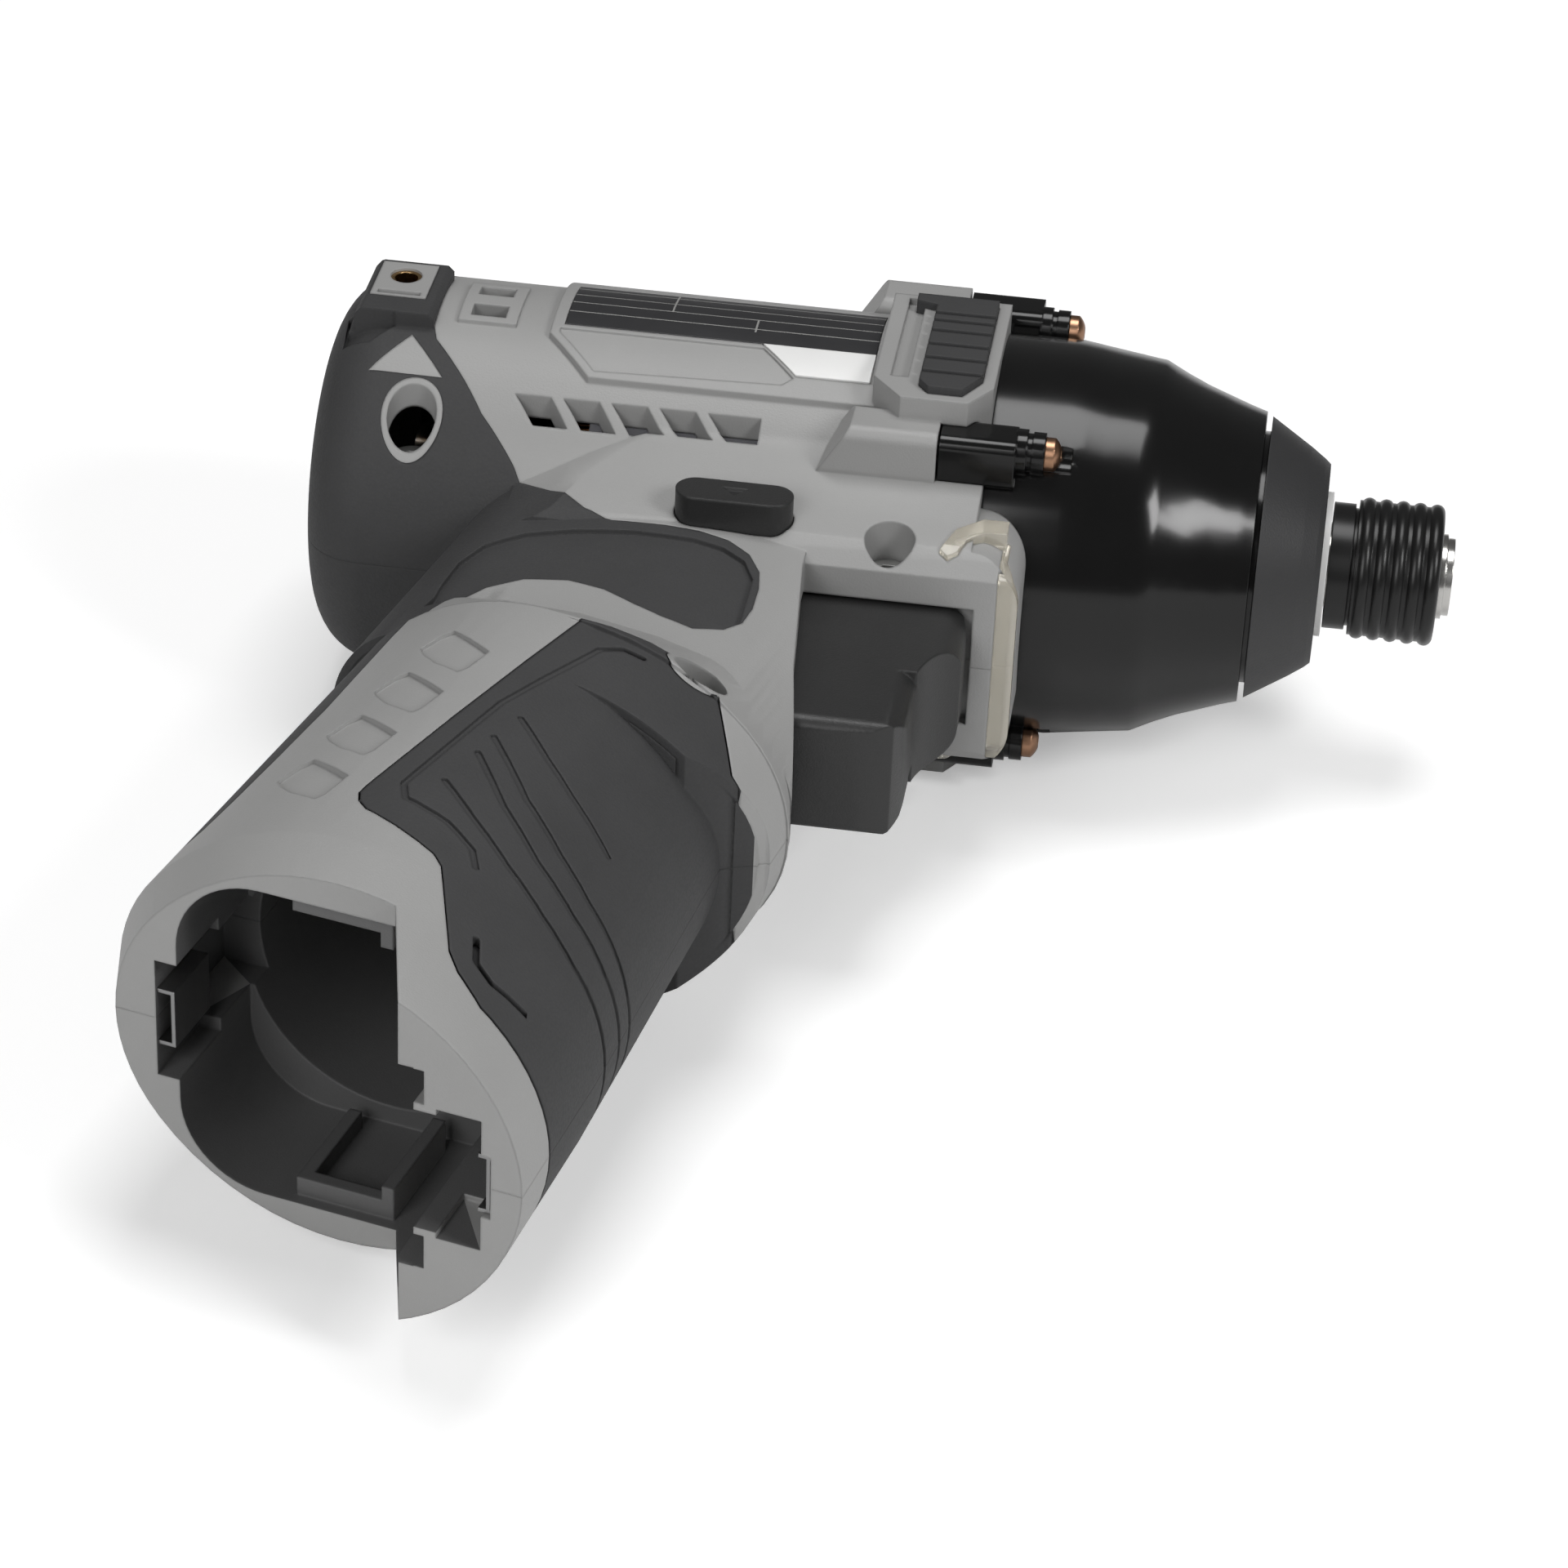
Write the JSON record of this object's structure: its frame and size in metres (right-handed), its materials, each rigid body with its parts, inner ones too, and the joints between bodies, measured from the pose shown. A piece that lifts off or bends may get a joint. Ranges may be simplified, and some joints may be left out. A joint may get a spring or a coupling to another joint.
{
  "type": "impact driver",
  "caption": "Compact pistol-grip impact driver with a hexagon bit collet, gloss hammer case, rubber-covered handle and an open battery socket, shown without its battery.",
  "frame": {"origin": "spindle axis at the front end of the anvil, the mouth of the bit socket", "axes": "+X along the spindle out of the nose, +Y towards the top of the head, away from the handle, +Z towards the tool's right side, which faces up as it lies on its left side"},
  "size_m": [0.1576, 0.1898, 0.061],
  "materials": {
    "grey_plastic": "fine satin texture",
    "rubber": "soft matt overmould",
    "gloss_black": "high gloss black",
    "cap_plastic": "matt black",
    "white_plastic": "plain",
    "steel": "turned",
    "dark_steel": "dark phosphate",
    "brass": "plated",
    "copper": "enamelled wire",
    "board": "solder mask",
    "clear_lens": "clear moulded lens",
    "black_plastic": "satin",
    "label_dark": "printed film, lettering left bare",
    "label_white": "printed film, lettering left bare",
    "wire_red": "insulated lead"
  },
  "bodies": {
    "housing": {"housing_right": "grey_plastic", "housing_left": "grey_plastic", "boot_right": "rubber", "boot_left": "rubber", "grip_right": "rubber", "grip_left": "rubber", "bumper_right": "rubber", "bumper_left": "rubber", "hook_plates": "grey_plastic", "hook_inserts": "brass", "label_plate": "label_dark", "label_patch": "label_white", "light_lens": "clear_lens", "led_board": "board", "housing_screws": "dark_steel", "hammer_case": "gloss_black", "case_screws": "brass", "nose_cap": "cap_plastic", "nose_washer": "white_plastic", "front_bush": "brass", "ring_gear": "dark_steel", "gear_plate": "dark_steel", "carrier_bearing": "steel", "rotor_bearings": "steel", "stator_core": "dark_steel", "stator_coils": "copper", "sensor_board": "board", "switch_body": "black_plastic", "controller_board": "board", "terminal_block": "black_plastic", "terminals": "brass", "motor_wires": "wire_red", "latch_clips": "steel"},
    "carrier": {"camshaft": "steel", "planet_pins": "steel", "cam_balls": "steel", "hammer_spring": "steel"},
    "hammer": {"hammer": "dark_steel"},
    "planet_1": {"planet_1": "steel"},
    "planet_2": {"planet_2": "steel"},
    "planet_3": {"planet_3": "steel"},
    "rotor": {"rotor_shaft": "steel", "rotor_core": "dark_steel", "fan": "black_plastic"},
    "anvil": {"anvil": "steel", "bit_balls": "steel", "sleeve_ring": "steel", "sleeve_spring": "steel"},
    "collet": {"collet_sleeve": "gloss_black"},
    "trigger": {"trigger": "black_plastic", "switch_plunger": "white_plastic"},
    "selector": {"selector": "black_plastic"}
  },
  "joints": [
    {"name": "carrier_spin", "type": "hinge", "parent": "housing", "child": "carrier", "pos_m": [-0.073, 0, 0], "axis": [1, 0, 0], "continuous": true},
    {"name": "hammer_slide", "type": "slide", "parent": "carrier", "child": "hammer", "axis": [-1, 0, 0], "range_m": [0, 0.006], "stiffness_N_per_m": 4000, "deforming": ["hammer_spring"]},
    {"name": "planet_1_spin", "type": "hinge", "parent": "carrier", "child": "planet_1", "pos_m": [-0.0731, 0.0105, 0], "axis": [1, 0, 0], "continuous": true},
    {"name": "planet_2_spin", "type": "hinge", "parent": "carrier", "child": "planet_2", "pos_m": [-0.0731, -0.00525, 0.00909], "axis": [1, 0, 0], "continuous": true},
    {"name": "planet_3_spin", "type": "hinge", "parent": "carrier", "child": "planet_3", "pos_m": [-0.0731, -0.00525, -0.00909], "axis": [1, 0, 0], "continuous": true},
    {"name": "rotor_spin", "type": "hinge", "parent": "housing", "child": "rotor", "pos_m": [-0.073, 0, 0], "axis": [1, 0, 0], "continuous": true},
    {"name": "anvil_spin", "type": "hinge", "parent": "housing", "child": "anvil", "pos_m": [-0.073, 0, 0], "axis": [1, 0, 0], "continuous": true},
    {"name": "collet_slide", "type": "slide", "parent": "anvil", "child": "collet", "axis": [1, 0, 0], "range_m": [0, 0.003], "stiffness_N_per_m": 1500, "deforming": ["sleeve_spring"]},
    {"name": "trigger_pull", "type": "slide", "parent": "housing", "child": "trigger", "axis": [-1, 0, 0], "range_m": [0, 0.006], "stiffness_N_per_m": 1200},
    {"name": "selector_push", "type": "slide", "parent": "housing", "child": "selector", "axis": [0, 0, -1], "range_m": [0, 0.0042]}
  ],
  "couplings": [
    {"joint": "planet_1_spin", "follows": "carrier_spin", "ratio": -2.6667},
    {"joint": "planet_2_spin", "follows": "carrier_spin", "ratio": -2.6667},
    {"joint": "planet_3_spin", "follows": "carrier_spin", "ratio": -2.6667},
    {"joint": "rotor_spin", "follows": "carrier_spin", "ratio": 5},
    {"joint": "anvil_spin", "follows": "carrier_spin", "ratio": 1}
  ]
}
